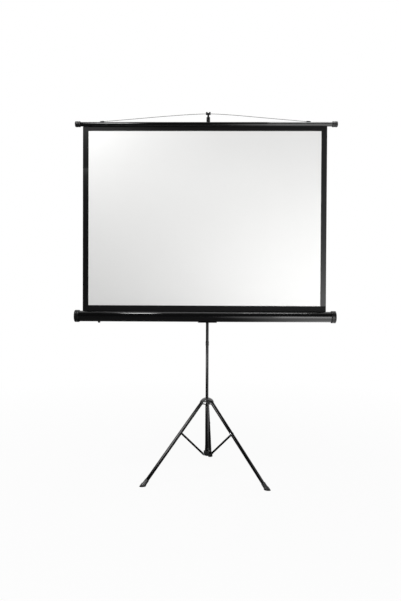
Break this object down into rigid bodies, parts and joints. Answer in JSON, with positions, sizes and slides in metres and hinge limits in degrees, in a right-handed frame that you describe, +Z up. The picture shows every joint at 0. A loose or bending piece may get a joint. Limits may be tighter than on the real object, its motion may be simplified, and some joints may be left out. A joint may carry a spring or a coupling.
{
  "type": "portable tripod projector screen",
  "caption": "Roll-up projection screen in a round case, on a telescoping mast with a folding stand; the top bar hangs from a cable over a hook.",
  "frame": {"origin": "the point of the floor under the middle of the screen's bounding box, set up with its legs spread, its mast drawn out and its cloth up", "axes": "+Z up along the mast; -Y is the side of the cloth that the picture is thrown on, so a viewer faces +Y; +X is to that viewer's right, along the case and the top bar"},
  "size_m": [1.652, 0.7228, 2.3362],
  "materials": {
    "black_paint": "gloss black enamel on drawn and roll-formed steel, with clear mirror-like highlights along the tubes",
    "black_plastic": "black injection-moulded plastic, satin",
    "gloss_black_plastic": "black moulded plastic with a polished face",
    "black_rubber": "black moulded rubber, dull",
    "bare_steel": "plated steel, lightly brushed",
    "zinc_steel": "zinc-plated sheet steel, dull grey",
    "screen_cloth": "matte white coated cloth with a black border printed round the viewing area",
    "cable_coat": "grey coated cord",
    "nylon": "natural nylon"
  },
  "bodies": {
    "mast": {"mast_tube": "black_paint", "mast_end_plug": "black_plastic", "mast_sleeve": "black_paint", "carriage_stop_ring": "black_plastic", "extension_clamp": "black_plastic", "brace_collar": "black_plastic", "brace_pin_left": "bare_steel", "brace_pin_right": "bare_steel", "brace_pin_rear": "bare_steel"},
    "hub": {"leg_hub": "gloss_black_plastic", "leg_pin_left": "bare_steel", "leg_pin_right": "bare_steel", "leg_pin_rear": "bare_steel"},
    "hub_lock": {"hub_knob": "black_plastic"},
    "left_leg": {"leg_tube_left": "black_paint", "foot_left": "black_rubber", "brace_stud_left": "bare_steel"},
    "right_leg": {"leg_tube_right": "black_paint", "foot_right": "black_rubber", "brace_stud_right": "bare_steel"},
    "rear_leg": {"leg_tube_rear": "black_paint", "foot_rear": "black_rubber", "brace_stud_rear": "bare_steel"},
    "left_brace": {"brace_left": "black_paint"},
    "right_brace": {"brace_right": "black_paint"},
    "rear_brace": {"brace_rear": "black_paint"},
    "extension": {"extension_tube": "black_paint", "extension_head": "black_plastic", "cable_hook": "bare_steel"},
    "extension_lock": {"extension_clamp_knob": "black_plastic"},
    "slider": {"carriage": "black_plastic", "carry_handle": "black_plastic", "swivel_bolt": "bare_steel", "swivel_washer": "nylon"},
    "slider_lock": {"carriage_knob": "black_plastic"},
    "case": {"case_tube": "black_paint", "case_cap_left": "black_plastic", "case_cap_right": "black_plastic", "case_bumper": "black_rubber", "case_saddle": "black_plastic", "roller_bracket_left": "zinc_steel", "roller_bracket_right": "zinc_steel", "spring_arbor": "bare_steel", "screen_cloth": "screen_cloth"},
    "roller": {"roller_tube": "zinc_steel", "rolled_cloth": "screen_cloth", "roller_plug_left": "black_plastic", "roller_plug_right": "black_plastic", "roller_spring": "bare_steel"},
    "top_bar": {"bar_tube": "black_paint", "bar_cap_left": "black_plastic", "bar_cap_right": "black_plastic", "cloth_spline": "bare_steel", "cable_anchor_left": "black_plastic", "cable_anchor_right": "black_plastic", "hanging_cable": "cable_coat"}
  },
  "joints": [
    {"name": "stand_fold", "type": "slide", "parent": "mast", "child": "hub", "axis": [0, 0, 1], "range_m": [0, 0.1196]},
    {"name": "left_leg_pivot", "type": "hinge", "parent": "hub", "child": "left_leg", "pos_m": [-0.01866, -0.11799, 0.484], "axis": [0.4503, -0.8929, 0], "range_deg": [0, 39.8]},
    {"name": "right_leg_pivot", "type": "hinge", "parent": "hub", "child": "right_leg", "pos_m": [0.04653, -0.12168, 0.484], "axis": [0.5481, 0.8364, 0], "range_deg": [0, 39.8]},
    {"name": "rear_leg_pivot", "type": "hinge", "parent": "hub", "child": "rear_leg", "pos_m": [0.01713, -0.06337, 0.484], "axis": [-0.9984, 0.0565, 0], "range_deg": [0, 39.8]},
    {"name": "left_brace_pivot", "type": "hinge", "parent": "mast", "child": "left_brace", "pos_m": [-0.01357, -0.11542, 0.1525], "axis": [0.4503, -0.8929, 0], "range_deg": [-44.2, 0]},
    {"name": "right_brace_pivot", "type": "hinge", "parent": "mast", "child": "right_brace", "pos_m": [0.04176, -0.11855, 0.1525], "axis": [0.5481, 0.8364, 0], "range_deg": [-44.2, 0]},
    {"name": "rear_brace_pivot", "type": "hinge", "parent": "mast", "child": "rear_brace", "pos_m": [0.01681, -0.06906, 0.1525], "axis": [-0.9984, 0.0565, 0], "range_deg": [-44.2, 0]},
    {"name": "hub_knob_turn", "type": "hinge", "parent": "hub", "child": "hub_lock", "pos_m": [0.015, -0.10101, 0.49], "axis": [0.1867, -0.9824, 0], "range_deg": [0, 180]},
    {"name": "mast_extension", "type": "slide", "parent": "mast", "child": "extension", "axis": [0, 0, 1], "range_m": [-0.93, 0]},
    {"name": "extension_knob_turn", "type": "hinge", "parent": "mast", "child": "extension_lock", "pos_m": [0.015, -0.10101, 1.34], "axis": [0, 1, 0], "range_deg": [0, 180]},
    {"name": "carriage_height", "type": "slide", "parent": "mast", "child": "slider", "axis": [0, 0, 1], "range_m": [-0.1, 0.15]},
    {"name": "carriage_knob_turn", "type": "hinge", "parent": "slider", "child": "slider_lock", "pos_m": [0.015, -0.10101, 1.0725], "axis": [1, 0, 0], "range_deg": [0, 180]},
    {"name": "case_swivel", "type": "hinge", "parent": "slider", "child": "case", "pos_m": [0.015, -0.19901, 1.0445], "axis": [0, 1, 0], "range_deg": [0, 70]},
    {"name": "screen_retract", "type": "slide", "parent": "case", "child": "top_bar", "axis": [0, 0, -1], "range_m": [0, 1.15], "deforming": ["screen_cloth", "hanging_cable"]},
    {"name": "roller_turn", "type": "hinge", "parent": "case", "child": "roller", "pos_m": [0.015, -0.19101, 1.0385], "axis": [1, 0, 0], "range_deg": [0, 3065]}
  ],
  "couplings": [
    {"joint": "left_leg_pivot", "follows": "stand_fold", "rad_per_m": 5.8045},
    {"joint": "right_leg_pivot", "follows": "stand_fold", "rad_per_m": 5.8045},
    {"joint": "rear_leg_pivot", "follows": "stand_fold", "rad_per_m": 5.8045},
    {"joint": "left_brace_pivot", "follows": "stand_fold", "rad_per_m": -6.4455},
    {"joint": "right_brace_pivot", "follows": "stand_fold", "rad_per_m": -6.4455},
    {"joint": "rear_brace_pivot", "follows": "stand_fold", "rad_per_m": -6.4455},
    {"joint": "roller_turn", "follows": "screen_retract", "rad_per_m": 46.5}
  ]
}
